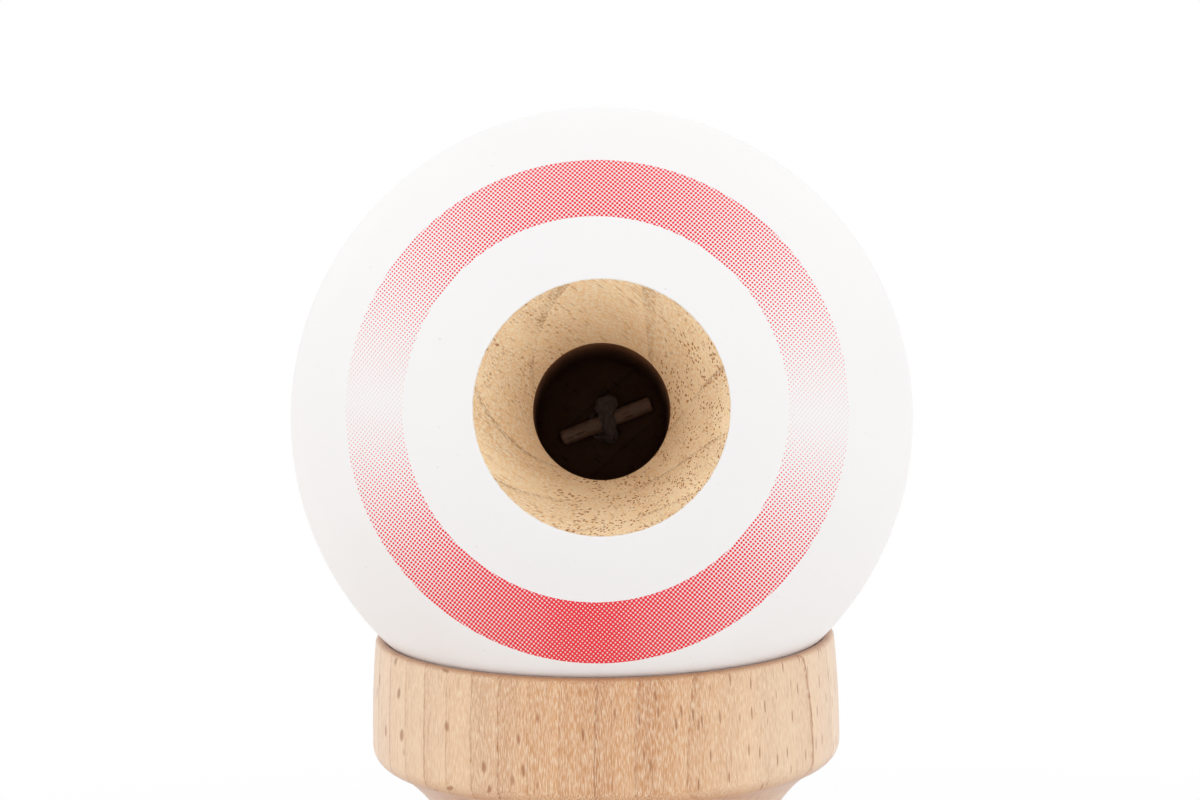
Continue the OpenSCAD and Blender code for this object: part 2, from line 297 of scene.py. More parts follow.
# How much smoother or rougher than its mean the wood gets from fibre to fibre.
SMOOTHER, ROUGHER = 0.08, 0.1
WOOD_IOR, FUZZ_ROUGHNESS = 1.5, 0.35
# A wave texture at scale 1 repeats after this length.
WAVE_LENGTH = 0.314


def beech(
    name,
    pith,
    wood_axes,
    colours,
    ring_w=3.0,
    ring_shares=(0.2, 0.8),
    fibre_size=(0.08, 0.8),
    ray_share=0.62,
    pore_share=0.25,
    pore_w=0.26,
    side_pores=1.0,
    end_grain_and_shade_share=0.75,
    rough=0.42,
    sheen=0.45,
    painted_side_light=None,
):
    """Turned beech: tan wood full of short pale fibres, with thin growth lines, the small brown
    dashes of its rays and fine pores. Fibres run along the third of wood_axes and the rings'
    centre, the pith, is a point in metres. Pores keep a share, side_pores, of their strength where
    the wood is cut along its fibres."""
    light, dark, pale, late, ray = (linear(c) for c in colours)
    material, tree, shader = new_material(name)
    at = add(tree, "ShaderNodeTexCoord", out=None)
    # The block of wood that the piece was turned from, in mm, with its fibres along Z.
    block = in_mm(tree, pith, wood_axes)

    def cells(*size):
        """Places in the block, counted in cells of a size in mm."""
        counts = [1 / length for length in size]
        return add(tree, "ShaderNodeVectorMath", {0: block, 1: counts}, operation="MULTIPLY")

    # Streaks up to 4 mm wide between paler and darker wood.
    streaks = add(
        tree, "ShaderNodeTexNoise", {"Vector": cells(*STREAK_SIZE), "Scale": 1, "Detail": 4}
    )
    shade = add(tree, "ShaderNodeMapRange", {"Value": streaks, "From Min": 0.36, "From Max": 0.62})
    wood = add(tree, "ShaderNodeMix", {0: shade, MIX_A: light, MIX_B: dark}, **RGBA)
    if painted_side_light:
        # Painted light: paler towards both sides of the piece, for the brighter light its sides
        # catch.
        start, end, share, side_light_colour = painted_side_light
        sideways = add(tree, "ShaderNodeSeparateXYZ", {0: at["Object"]}, "X")
        distance = add(tree, "ShaderNodeMath", {0: sideways}, operation="ABSOLUTE")
        side_light_share = add(
            tree,
            "ShaderNodeMapRange",
            {"Value": distance, "From Min": start * MM, "From Max": end * MM, "To Max": share},
            interpolation_type="SMOOTHSTEP",
        )
        wood = add(tree, "ShaderNodeMix", {0: side_light_share, MIX_A: wood, MIX_B: linear(side_light_colour)}, **RGBA)
    # Growth rings: a slow darkening over each ring, closed by a thin line. They wander a little
    # along the fibres.
    rings = add(
        tree,
        "ShaderNodeTexWave",
        {
            "Vector": cells(1, 1, RING_STRETCH),
            "Scale": WAVE_LENGTH / ring_w,
            "Distortion": 1.6,
            "Detail": 1,
            "Detail Scale": 0.25,
        },
        "Fac",
        wave_type="RINGS",
        rings_direction="Z",
        wave_profile="SAW",
    )
    late_share, line_share = ring_shares
    slow = add(
        tree,
        "ShaderNodeMapRange",
        {"Value": rings, "From Min": 0.3, "From Max": 1.0, "To Max": late_share},
    )
    thin = add(
        tree,
        "ShaderNodeMapRange",
        {"Value": rings, "From Min": 0.9, "From Max": 0.98, "To Max": line_share},
        interpolation_type="SMOOTHSTEP",
    )
    broken = add(tree, "ShaderNodeMath", {0: thin, 1: shade}, operation="MULTIPLY")
    lines = add(tree, "ShaderNodeMath", {0: slow, 1: broken}, operation="ADD")
    ringed = add(tree, "ShaderNodeMix", {0: lines, MIX_A: wood, MIX_B: late}, **RGBA)
    # Fibres, some of them pale, drawn wider than they are so that they show.
    fibre_w, fibre_len = fibre_size
    fibres = add(
        tree,
        "ShaderNodeTexNoise",
        {"Vector": cells(fibre_w, fibre_w, fibre_len), "Scale": 1, "Detail": 2},
    )
    flecks = add(
        tree,
        "ShaderNodeMapRange",
        {"Value": fibres, "From Min": 0.4, "From Max": 0.7, "To Max": 0.8},
    )
    fibred = add(tree, "ShaderNodeMix", {0: flecks, MIX_A: ringed, MIX_B: pale}, **RGBA)
    # Rays: thin lens-shaped sheets, seen on edge as dashes and from the side as flecks.
    ray_edge = add(
        tree, "ShaderNodeTexVoronoi", {"Vector": cells(*RAY_SPACING), "Scale": 1}, "Distance"
    )
    rays = add(
        tree,
        "ShaderNodeMapRange",
        {"Value": ray_edge, "From Min": 0.1, "From Max": 0.22, "To Min": ray_share, "To Max": 0},
        interpolation_type="SMOOTHSTEP",
    )
    rayed = add(tree, "ShaderNodeMix", {0: rays, MIX_A: fibred, MIX_B: ray}, **RGBA)
    # Pores: vessels that run with the fibres, in drifts, dots where the wood is cut across.
    pore_edge = add(
        tree,
        "ShaderNodeTexVoronoi",
        {"Vector": cells(pore_w, pore_w, PORE_LEN), "Scale": 1},
        "Distance",
    )
    pore_dots = add(
        tree,
        "ShaderNodeMapRange",
        {"Value": pore_edge, "From Min": 0.22, "From Max": 0.36, "To Min": 1, "To Max": 0},
    )
    drift = add(tree, "ShaderNodeTexNoise", {"Vector": cells(*DRIFT_SIZE), "Scale": 1, "Detail": 3})
    drifts = add(
        tree,
        "ShaderNodeMapRange",
        {"Value": drift, "From Min": 0.4, "From Max": 0.62, "To Max": pore_share},
    )
    across = add(
        tree,
        "ShaderNodeVectorMath",
        {0: at["Normal"], 1: wood_axes.col[2][:3]},
        "Value",
        operation="DOT_PRODUCT",
    )
    end_grain = add(tree, "ShaderNodeMath", {0: across, 1: across}, operation="MULTIPLY")
    open_ends = add(
        tree,
        "ShaderNodeMapRange",
        {"Value": end_grain, "From Min": 0.02, "From Max": 0.4, "To Min": side_pores},
    )
    open_dots = add(tree, "ShaderNodeMath", {0: pore_dots, 1: open_ends}, operation="MULTIPLY")
    pores = add(tree, "ShaderNodeMath", {0: open_dots, 1: drifts}, operation="MULTIPLY")
    pored = add(tree, "ShaderNodeMix", {0: pores, MIX_A: rayed, MIX_B: ray}, **RGBA)
    # Wood cut across its fibres looks darker than wood cut along them; the share is strong enough
    # to also stand in for painted shade, such as in the cove under the band.
    cut_across_and_shade = add(tree, "ShaderNodeMath", {0: end_grain, 1: end_grain_and_shade_share}, operation="MULTIPLY")
    bare = add(tree, "ShaderNodeMix", {0: cut_across_and_shade, MIX_A: pored, MIX_B: late}, **RGBA)
    tree.links.new(bare, shader.inputs["Base Color"])
    # Sanding leaves the fibres just proud, and the lathe leaves fine rings square to its axis.
    along = add(tree, "ShaderNodeSeparateXYZ", {0: block}, "Z")
    marks = add(
        tree,
        "ShaderNodeTexNoise",
        {"W": along, "Scale": MARK_SCALE, "Detail": 2},
        noise_dimensions="1D",
    )
    relief = add(
        tree, "ShaderNodeMath", {0: marks, 1: MARK_SHARE, 2: fibres}, operation="MULTIPLY_ADD"
    )
    hollowed = add(tree, "ShaderNodeMath", {0: relief, 1: pores}, operation="SUBTRACT")
    bump = add(
        tree,
        "ShaderNodeBump",
        {"Height": hollowed, "Strength": 0.3, "Distance": FIBRE_HEIGHT * MM},
    )
    tree.links.new(bump, shader.inputs["Normal"])
    polish = add(
        tree,
        "ShaderNodeMapRange",
        {"Value": fibres, "To Min": rough - SMOOTHER, "To Max": rough + ROUGHER},
    )
    tree.links.new(polish, shader.inputs["Roughness"])
    shader.inputs["IOR"].default_value = WOOD_IOR
    # The finest raised fibres make its edges look pale.
    shader.inputs["Sheen Weight"].default_value = sheen
    shader.inputs["Sheen Roughness"].default_value = FUZZ_ROUGHNESS
    return material


def seat_r(x):
    """Radius of the handle's tapered seat in mm, x mm along the handle from the cups' axis."""
    return (SEAT_D - SEAT_TAPER * x / (2 * WAIST_R)) / 2


BEECH_COLOURS = ("#DFA875", "#CA8E5C", "#FAE2C4", "#A8642E", "#94501C")
# The pith lay to the right of the piece, so the right front shows rays on edge and the left front
# growth rings.
SARADO_PITH, SARADO_TURN = (0.052, -0.062, 0.01), -50
# Painted light, paler towards both sides for the brighter light they catch: where it starts and
# is full in mm off the middle, its share, its colour.
PAINTED_SIDE_LIGHT = (4, 19, 0.52, "#FFEBCE")
sarado_beech = beech(
    "beech_turned_and_sanded",
    SARADO_PITH,
    Matrix.Rotation(math.radians(SARADO_TURN), 4, "Z"),
    BEECH_COLOURS,
    painted_side_light=PAINTED_SIDE_LIGHT,
)
small_half = [(r, -z) for r, z in cup_outline(**SMALL_CUP)]
big_half = [(r, z + SARADO_LEN) for r, z in reversed(cup_outline(**BIG_CUP))]
sarado_outline = closely_spaced(small_half + big_half)
sarado = turned("sarado_cups", sarado_outline, SARADO_STEPS, sarado_beech)
seat_reach = BIG_CUP["cup_d"] / 2
at_ken = Matrix.Translation((0, 0, KEN_HEIGHT * MM))
along_x = Matrix.Rotation(math.radians(90), 4, "Y")
along_y = Matrix.Rotation(math.radians(-90), 4, "X")
drilled(
    sarado,
    [
        drill(
            "seat_cutter",
            [seat_r(x) + SEAT_GAP for x in (-seat_reach, seat_reach)],
            2 * seat_reach,
            at_ken @ along_x @ Matrix.Translation((0, 0, -seat_reach * MM)),
        ),
        drill("string_cutter", [SARADO_HOLE_D / 2] * 2, seat_reach, at_ken @ along_y),
        drill(
            "string_ease_cutter",
            [SARADO_HOLE_D / 2 - HOLE_EASE, SARADO_HOLE_D / 2 + 2 * HOLE_EASE],
            3 * HOLE_EASE,
            at_ken @ along_y @ Matrix.Translation((0, 0, (WAIST_R - 2 * HOLE_EASE) * MM)),
        ),
    ],
)
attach(sarado, "ken_and_sarado")
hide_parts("sarado")


# Ken: the handle, one long turning with a shallow base cup at one end and a spike at the other.
# Its tapered seat is driven through the sarado and held by friction, and the string's stop knot
# sits in a recess in the seat.
KEN_LEN, SPIKE_REACH = 160, 58
NECK_R, SPIKE_R, SHOULDER_R, TIP_R = 7.7, 5.7, 5, 3
BASE_CUP = dict(cup_d=38, band_h=9, cove_d=34.6, cove_r=11, stem_r=NECK_R, hollow_r=24)
KEN_HOLE_D, RECESS_D = 3, 4.6
SHOULDER_START = WAIST_R + 1
KEN_PITH, KEN_TURN, KEN_RING_W, KEN_STEPS = (0.01, 0.045, 0.075), 35, 3.4, 192
ken_beech = beech(
    "beech_turned_and_sanded_handle",
    KEN_PITH,
    along_x @ Matrix.Rotation(math.radians(KEN_TURN), 4, "Z"),
    BEECH_COLOURS,
    ring_w=KEN_RING_W,
)
base_half = [(r, -z + SPIKE_REACH - KEN_LEN) for r, z in cup_outline(**BASE_CUP)]
shoulder_h = math.sqrt(SHOULDER_R**2 - (SPIKE_R + SHOULDER_R - seat_r(SHOULDER_START)) ** 2)
shoulder_middle = (SPIKE_R + SHOULDER_R, SHOULDER_START + shoulder_h)
shoulder_edge = 180 + math.degrees(math.asin(shoulder_h / SHOULDER_R))
ken_outline = [
    *base_half,
    (seat_r(-WAIST_R), -WAIST_R),
    *arc(shoulder_middle, SHOULDER_R, shoulder_edge, 180, steps=14),
    *arc((0, SPIKE_REACH - TIP_R), TIP_R, 0, 90, steps=16),
]
ken = turned("ken_handle", closely_spaced(ken_outline), KEN_STEPS, ken_beech, at_ken @ along_x)
facing_front = Matrix.Rotation(math.radians(90), 4, "X")
recess_floor = SEAT_D / 2 - RECESS_D
drilled(
    ken,
    [
        drill(
            "ken_hole_cutter",
            [KEN_HOLE_D / 2] * 2,
            2 * SEAT_D,
            at_ken @ facing_front @ Matrix.Translation((0, 0, -SEAT_D * MM)),
        ),
        drill(
            "recess_cutter",
            [RECESS_D / 2] * 2,
            SEAT_D,
            at_ken @ facing_front @ Matrix.Translation((0, 0, recess_floor * MM)),
        ),
    ],
)
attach(ken, "ken_and_sarado")
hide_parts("ken")


# Tama: the ball, turned from beech and sprayed with white satin lacquer. The bore is drilled and
# its mouth flared after painting, so both show bare wood, with a small hole behind for the string.
BALL_R, BALL_HEIGHT, BORE_TIP = 30, 91.02506, 10.5
BORE_R, FLARE_R, FLARE_DEPTH, BORE_BOTTOM, BALL_HOLE_R = 6.35, 11.7, 9.9, -11.25, 1.4
FLARE_EASE, BORE_EASE, HOLE_EASE_R = 0.1, 0.5, 0.3
PAINT_EDGE, PAINT_RAGGED = 0.06, 0.12
# Degrees of the ball's skin that the rounds at its hole and its mouth take up.
HOLE_ROUND_ANGLE, MOUTH_ROUND_ANGLE = 0.8, 0.6
bore_axes = Matrix.Rotation(math.radians(90 - BORE_TIP), 4, "X")
on_bore = Matrix.Translation((0, 0, BALL_HEIGHT * MM)) @ bore_axes


def eased(before, corner, after, radius, steps):
    """Points of a round of that radius in a corner between two straights."""
    c = Vector(corner)
    to_before, to_after = (Vector(before) - c).normalized(), (Vector(after) - c).normalized()
    half = to_before.angle(to_after) / 2
    middle = c + (to_before + to_after).normalized() * radius / math.sin(half)
    first = (c + to_before * radius / math.tan(half) - middle).normalized()
    last = (c + to_after * radius / math.tan(half) - middle).normalized()
    return [tuple(middle + first.slerp(last, i / steps) * radius) for i in range(steps + 1)]


flare_edge = (FLARE_R, math.sqrt(BALL_R**2 - FLARE_R**2))
bore_top = (BORE_R, flare_edge[1] - FLARE_DEPTH)
hole_outer = (BALL_HOLE_R, -math.sqrt(BALL_R**2 - BALL_HOLE_R**2))
hole_inner = (BALL_HOLE_R, BORE_BOTTOM - math.sqrt(BORE_R**2 - BALL_HOLE_R**2))
skin_end = math.degrees(math.atan2(flare_edge[1], flare_edge[0])) - MOUTH_ROUND_ANGLE
skin_start = math.degrees(math.atan2(hole_outer[1], hole_outer[0])) + HOLE_ROUND_ANGLE
bottom_end = math.degrees(math.atan2(hole_inner[1] - BORE_BOTTOM, BALL_HOLE_R))
flare_slope = (Vector(bore_top) - Vector(flare_edge)).normalized()
ball_skin = arc((0, 0), BALL_R, skin_start, skin_end, steps=170)
mouth = eased(ball_skin[-1], flare_edge, bore_top, FLARE_EASE, steps=8)
paint_edge = tuple(Vector(mouth[-1]) + flare_slope * PAINT_EDGE)
tama_outline = [
    *eased(hole_inner, hole_outer, ball_skin[0], HOLE_EASE_R, steps=6),
    *ball_skin,
    *mouth,
    paint_edge,
    tuple(Vector(paint_edge) + flare_slope * 4 * PAINT_RAGGED),
    *eased(flare_edge, bore_top, (BORE_R, BORE_BOTTOM), BORE_EASE, steps=10),
    *arc((0, BORE_BOTTOM), BORE_R, 0, bottom_end, steps=28),
]
tama_outline.append(tama_outline[0])

# White satin lacquer: an even, nearly neutral white that spreads its highlights, with the faint
# ripple of sprayed paint, a few dust specks, and a ring of red dots printed round the mouth. The
# dots are dense at the top, denser at the bottom, and thin out towards both sides.
RING_TURN, RING_INNER, RING_OUTER = 1.3, 35.9, 50.8
DOT_PITCH, DOT_ROW_TURN, DOT_EDGE = 0.302, 40, 0.05
SIDE_COVER, TOP_COVER, BOTTOM_COVER = 0.03, 0.56, 0.77
LOWEST_COVER, LOWEST_START = 0.07, 0.97
COVER_TURN, COVER_POWER = 3, 1.35
SPECK_SPACING, FILM_HEIGHT, LACQUER_IOR = 2.5, 0.02, 1.5
lacquer, tree, shader = new_material("white_satin_lacquer")
ring_axes = bore_axes @ Matrix.Rotation(math.radians(-RING_TURN), 4, "Y")
on_ring = in_mm(tree, on_bore.translation, ring_axes)
outward = add(tree, "ShaderNodeVectorMath", {0: on_ring}, operation="NORMALIZE")
towards_mouth = add(tree, "ShaderNodeSeparateXYZ", {0: outward}, "Z")
inner_edge, outer_edge = (math.cos(math.radians(a)) for a in (RING_INNER, RING_OUTER))
past_inner = add(tree, "ShaderNodeMath", {0: towards_mouth, 1: inner_edge}, operation="LESS_THAN")
before_outer = add(
    tree, "ShaderNodeMath", {0: towards_mouth, 1: outer_edge}, operation="GREATER_THAN"
)
in_ring = add(tree, "ShaderNodeMath", {0: past_inner, 1: before_outer}, operation="MULTIPLY")
flat = add(tree, "ShaderNodeVectorMath", {0: on_ring, 1: (1, 1, 0)}, operation="MULTIPLY")
clock = add(tree, "ShaderNodeVectorMath", {0: flat}, operation="NORMALIZE")
densest = (math.sin(math.radians(COVER_TURN)), math.cos(math.radians(COVER_TURN)), 0)
upward = add(tree, "ShaderNodeVectorMath", {0: clock, 1: densest}, "Value", operation="DOT_PRODUCT")
downward = add(tree, "ShaderNodeMath", {0: upward, 1: -1.0}, operation="MULTIPLY")
over = add(tree, "ShaderNodeMath", {0: upward, 1: 0.0}, operation="MAXIMUM")
under = add(tree, "ShaderNodeMath", {0: downward, 1: 0.0}, operation="MAXIMUM")
over_rise = add(tree, "ShaderNodeMath", {0: over, 1: COVER_POWER}, operation="POWER")
under_rise = add(tree, "ShaderNodeMath", {0: under, 1: COVER_POWER}, operation="POWER")
over_cover = add(
    tree,
    "ShaderNodeMath",
    {0: over_rise, 1: TOP_COVER, 2: SIDE_COVER},
    operation="MULTIPLY_ADD",
)
both_cover = add(
    tree,
    "ShaderNodeMath",
    {0: under_rise, 1: BOTTOM_COVER, 2: over_cover},
    operation="MULTIPLY_ADD",
)
lowest = add(
    tree,
    "ShaderNodeMapRange",
    {"Value": under, "From Min": LOWEST_START, "From Max": 1.0, "To Max": LOWEST_COVER},
    interpolation_type="SMOOTHSTEP",
)
cover = add(tree, "ShaderNodeMath", {0: both_cover, 1: lowest}, operation="ADD")
# A dot of radius r covers pi r squared of its cell.
cover_share = add(tree, "ShaderNodeMath", {0: cover, 1: math.pi}, operation="DIVIDE")
dot_r = add(tree, "ShaderNodeMath", {0: cover_share}, operation="SQRT")
dot_rows = add(
    tree,
    "ShaderNodeMapping",
    {
        "Vector": flat,
        "Rotation": (0, 0, math.radians(DOT_ROW_TURN)),
        "Scale": (1 / DOT_PITCH, 1 / DOT_PITCH, 1),
    },
)
in_cell = add(tree, "ShaderNodeVectorMath", {0: dot_rows}, operation="FRACTION")
from_dot = add(
    tree, "ShaderNodeVectorMath", {0: in_cell, 1: (0.5, 0.5, 0)}, "Value", operation="DISTANCE"
)
inside_dot = add(tree, "ShaderNodeMath", {0: dot_r, 1: from_dot}, operation="SUBTRACT")
dots = add(
    tree,
    "ShaderNodeMapRange",
    {"Value": inside_dot, "From Min": -DOT_EDGE, "From Max": DOT_EDGE},
)
ink = add(tree, "ShaderNodeMath", {0: dots, 1: in_ring}, operation="MULTIPLY")
speck_cells = add(
    tree, "ShaderNodeVectorMath", {0: on_ring, 1: [1 / SPECK_SPACING] * 3}, operation="MULTIPLY"
)
speck_edge = add(tree, "ShaderNodeTexVoronoi", {"Vector": speck_cells, "Scale": 1}, "Distance")
specks = add(
    tree,
    "ShaderNodeMapRange",
    {"Value": speck_edge, "From Min": 0.02, "From Max": 0.05, "To Min": 0.5, "To Max": 0},
)
tint = add(tree, "ShaderNodeTexNoise", {"Vector": on_ring, "Scale": 0.08, "Detail": 3})
white = add(
    tree, "ShaderNodeMix", {0: tint, MIX_A: linear("#F8F7F6"), MIX_B: linear("#F4F2F2")}, **RGBA
)
dusty = add(tree, "ShaderNodeMix", {0: specks, MIX_A: white, MIX_B: linear("#C9BFB6")}, **RGBA)
printed = add(tree, "ShaderNodeMix", {0: ink, MIX_A: dusty, MIX_B: linear("#F0102A")}, **RGBA)
tree.links.new(printed, shader.inputs["Base Color"])
ripple = add(tree, "ShaderNodeTexNoise", {"Vector": on_ring, "Scale": 1.1, "Detail": 2})
raised = add(tree, "ShaderNodeMath", {0: specks, 1: 0.8, 2: ripple}, operation="MULTIPLY_ADD")
film = add(
    tree, "ShaderNodeBump", {"Height": raised, "Strength": 0.25, "Distance": FILM_HEIGHT * MM}
)
tree.links.new(film, shader.inputs["Normal"])
satin = add(tree, "ShaderNodeMapRange", {"Value": ripple, "To Min": 0.34, "To Max": 0.44})
tree.links.new(satin, shader.inputs["Roughness"])
shader.inputs["IOR"].default_value = LACQUER_IOR

# Bare wood of the flare: pale tan and matt. Its fibres lean from the bore, so open pores dot its
# right and lower sides, cut across, while its left side is smooth with a few thin lines. Its colour
# is darker towards the bore: painted shade for the deeper part of the flare.
BALL_PITH, BALL_TURN, BALL_RING_W = (0.04, -0.045, 0), 135, 5.2
FIBRE_LEAN = Vector((-0.6, 0.45, 0.66))
RECESS_SHADE_FROM, RECESS_SHADE_TO, RECESS_SHADE_SHARE = 11.2, 6.5, 0.32
ball_pith = on_bore @ Vector(BALL_PITH)
ball_turn = Matrix.Rotation(math.radians(BALL_TURN), 4, "Z")
lean = Vector((0, 0, 1)).rotation_difference(FIBRE_LEAN).to_matrix().to_4x4()
flare_beech = beech(
    "beech_flared_and_bare",
    ball_pith,
    bore_axes @ lean @ ball_turn,
    ("#FDD9A8", "#F0C795", "#FFF6DC", "#A06A34", "#9A5718"),
    ring_w=BALL_RING_W,
    ring_shares=(0.08, 0.6),
    fibre_size=(0.17, 0.4),
    ray_share=0.3,
    pore_share=2.0,
    pore_w=0.3,
    side_pores=0.15,
    end_grain_and_shade_share=0.0,
    rough=0.8,
    sheen=0.0,
)
tree = flare_beech.node_tree
base_colour = tree.nodes["Principled BSDF"].inputs["Base Color"]
in_bore_axes = in_mm(tree, on_bore.translation, bore_axes)
aside = add(tree, "ShaderNodeVectorMath", {0: in_bore_axes, 1: (1, 1, 0)}, operation="MULTIPLY")
from_axis = add(tree, "ShaderNodeVectorMath", {0: aside}, "Value", operation="LENGTH")
# Painted shade: darker brown towards the bore, deeper in the flare.
painted_recess_shade = add(
    tree,
    "ShaderNodeMapRange",
    {
        "Value": from_axis,
        "From Min": RECESS_SHADE_FROM,
        "From Max": RECESS_SHADE_TO,
        "To Max": RECESS_SHADE_SHARE,
    },
)
bare_wood = base_colour.links[0].from_socket
recess_shaded = add(
    tree, "ShaderNodeMix", {0: painted_recess_shade, MIX_A: bare_wood, MIX_B: linear("#A8743F")}, **RGBA
)
tree.links.new(recess_shaded, base_colour)
# Drilled wood of the bore: the same beech, coloured dark brown as painted shade, so its depth stays
# dark.
bore_beech = beech(
    "beech_bored_with_painted_shade",
    ball_pith,
    bore_axes @ ball_turn,
    ("#84583A", "#70472C", "#906644", "#573420", "#462814"),
    ring_w=BALL_RING_W,
    end_grain_and_shade_share=0.0,
    rough=0.7,
    sheen=0.0,
)
TAMA_STEPS = 336
tama = turned("tama_ball", closely_spaced(tama_outline), TAMA_STEPS, lacquer)
for bare_material in (flare_beech, bore_beech):
    tama.data.materials.append(bare_material)
# The paint's edge in the mouth is ragged: waves of many lengths round it, and single flakes.
EDGE_WAVES, FEWEST_ROUND, MOST_ROUND = 14, 5, 90
WAVE_SHARE, FLAKE_SHARE = 0.5, 0.45
flakes = random.Random(7)
edge_r, edge_z = paint_edge[0] * MM, paint_edge[1] * MM
ragged = {}
for vertex in tama.data.vertices:
    r = math.hypot(vertex.co.x, vertex.co.y)
    if abs(r - edge_r) < SAME_POINT and abs(vertex.co.z - edge_z) < SAME_POINT:
        ragged[vertex.index] = math.atan2(vertex.co.y, vertex.co.x)
waves = [
    (flakes.randint(FEWEST_ROUND, MOST_ROUND), flakes.uniform(0, 2 * math.pi))
    for _ in range(EDGE_WAVES)
]
for number, turn in sorted(ragged.items(), key=lambda item: item[1]):
    wave = sum(math.sin(count * turn + phase) for count, phase in waves) / (EDGE_WAVES / 2)
    slip = PAINT_RAGGED * (wave * WAVE_SHARE + flakes.uniform(-FLAKE_SHARE, FLAKE_SHARE))
    r, z = edge_r + flare_slope[0] * slip * MM, edge_z + flare_slope[1] * slip * MM
    tama.data.vertices[number].co = (r * math.cos(turn), r * math.sin(turn), z)
# Room in mm for telling the skin, the hole, the bore and the paint's edge apart.
SKIN_ROOM, HOLE_ROOM, BORE_ROOM, EDGE_ROOM = 0.4, 0.02, 0.12, 0.04
LACQUER_SLOT, FLARE_SLOT, BORE_SLOT = range(3)
for face in tama.data.polygons:
    r, z = math.hypot(face.center.x, face.center.y), face.center.z
    outside_hole = r > (BALL_HOLE_R + HOLE_ROOM) * MM
    on_skin = math.hypot(r, z) > (BALL_R - SKIN_ROOM) * MM and outside_hole
    if on_skin and (z < 0 or r > edge_r - EDGE_ROOM * MM):
        face.material_index = LACQUER_SLOT
    elif r < (BORE_R + BORE_ROOM) * MM and z < bore_top[1] * MM:
        face.material_index = BORE_SLOT
    else:
        face.material_index = FLARE_SLOT
tama.data.transform(on_bore)
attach(tama, "tama")
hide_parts("tama")


# Toggle: a short whittled stick that lies across the round bottom of the bore and keeps the string
# from pulling through the hole behind it. It is plain hardwood, a little darker and redder than
# the ball's bare wood.
TOGGLE_LEN, TOGGLE_R, TOGGLE_TURN, TOGGLE_SLIP = 9.7, 0.8, 21, 0.5
TOGGLE_PLACE, TOGGLE_STEPS, TOGGLE_RING_W = -13.869, 40, 1.2
TOGGLE_PITH = (0, 0.02, 0.01)
STICK_INSET, STICK_ROUND, STICK_WEAR = 0.35, 0.33, 0.03
FACETS, DEEPEST_FACET = 9, 0.955
toggle_turn = Matrix.Rotation(math.radians(TOGGLE_TURN), 4, "Z")
on_toggle = (
    on_bore
    @ Matrix.Translation((0, 0, TOGGLE_PLACE * MM))
    @ toggle_turn
    @ Matrix.Translation((TOGGLE_SLIP * MM, 0, 0))
)
toggle_wood = beech(
    "hardwood_stick_whittled",
    on_toggle @ Vector(TOGGLE_PITH),
    bore_axes @ toggle_turn @ along_x,
    ("#DCA88A", "#D0986F", "#E7BC9E", "#B57C58", "#864E30"),
    ring_w=TOGGLE_RING_W,
    rough=0.7,
    sheen=0.0,
)
half_stick = TOGGLE_LEN / 2
round_middle = (TOGGLE_R - STICK_INSET, half_stick - STICK_INSET)
stick_end = [(0, half_stick), *arc(round_middle, STICK_ROUND, 90, 10, steps=6)]
stick_outline = [*((r, -z) for r, z in stick_end), (TOGGLE_R - STICK_WEAR, 0), *reversed(stick_end)]
stick_outline = closely_spaced(stick_outline, longest=0.4)
toggle = turned("toggle_stick", stick_outline, TOGGLE_STEPS, toggle_wood)
whittle = random.Random(3)
facets = [whittle.uniform(DEEPEST_FACET, 1.0) for _ in range(FACETS)]
for vertex in toggle.data.vertices:
    turn = math.atan2(vertex.co.y, vertex.co.x) / (2 * math.pi) * FACETS
    low, share = math.floor(turn), turn - math.floor(turn)
    girth = facets[low % FACETS] * (1 - share) + facets[(low + 1) % FACETS] * share
    vertex.co.x, vertex.co.y = vertex.co.x * girth, vertex.co.y * girth
toggle.data.transform(on_toggle @ along_x)
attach(toggle, "string_end")
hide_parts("toggle")


# String: one length of brown polyester yarn, three plies laid round each other. It is knotted on
# the toggle, runs out through the back of the ball, falls to the table, lies there in a coil and
# climbs to the hole in the sarado, where it goes through the handle to its stop knot.
STRING_D, LAY_LENGTH, RING_STEP = 1.5, 5.2, 0.34
# Three touching plies lie with their middles PLY_SPREAD ply radii from the string's middle.
PLIES, PLY_SPREAD, PLY_SIDES = 3, 2 / math.sqrt(3), 10
# Routes of the hanging and the climbing stretch behind the toy, as (y, z) in mm.
FROM_BALL = [
    (29.8, 85.5), (31.5, 85.2), (33.4, 84.7), (35.2, 83.8), (36.7, 82.5), (37.8, 80.8),
    (38.4, 78.8), (38.5, 76.5), (38.5, 72), (38.5, 67.5), (38.5, 63), (38.5, 58.5), (38.5, 54),
    (38.5, 49.5), (38.5, 45), (38.5, 40.5), (38.5, 36), (38.5, 31.5), (38.5, 27), (38.5, 22.5),
    (38.5, 18), (38.5, 13.5), (38.5, 9), (38.3, 6.4), (37.6, 4.5), (36.4, 3.3), (35, 2.8),
    (33.5, 2.8),
]
TO_SARADO = [
    (30.5, 0.8), (29, 0.8), (27.4, 0.8), (25.8, 1.2), (24.4, 2.2), (23.4, 3.7), (23, 5.5),
    (23, 9.5), (23, 13.5), (23, 18), (23, 22.5), (23, 26.5), (22.7, 28.7), (22, 30.6), (20.8, 32),
    (19.2, 32.8), (17.4, 33), (15.5, 33),
]
COIL_R, COIL_STEP, COIL_LIFT, COIL_SIDE = 5.6, 2.25, 2, (0, 32, 0.8)
COIL_TURNS, CLIMB_TURNS, COIL_RINGS = 2.25, 0.5, 24


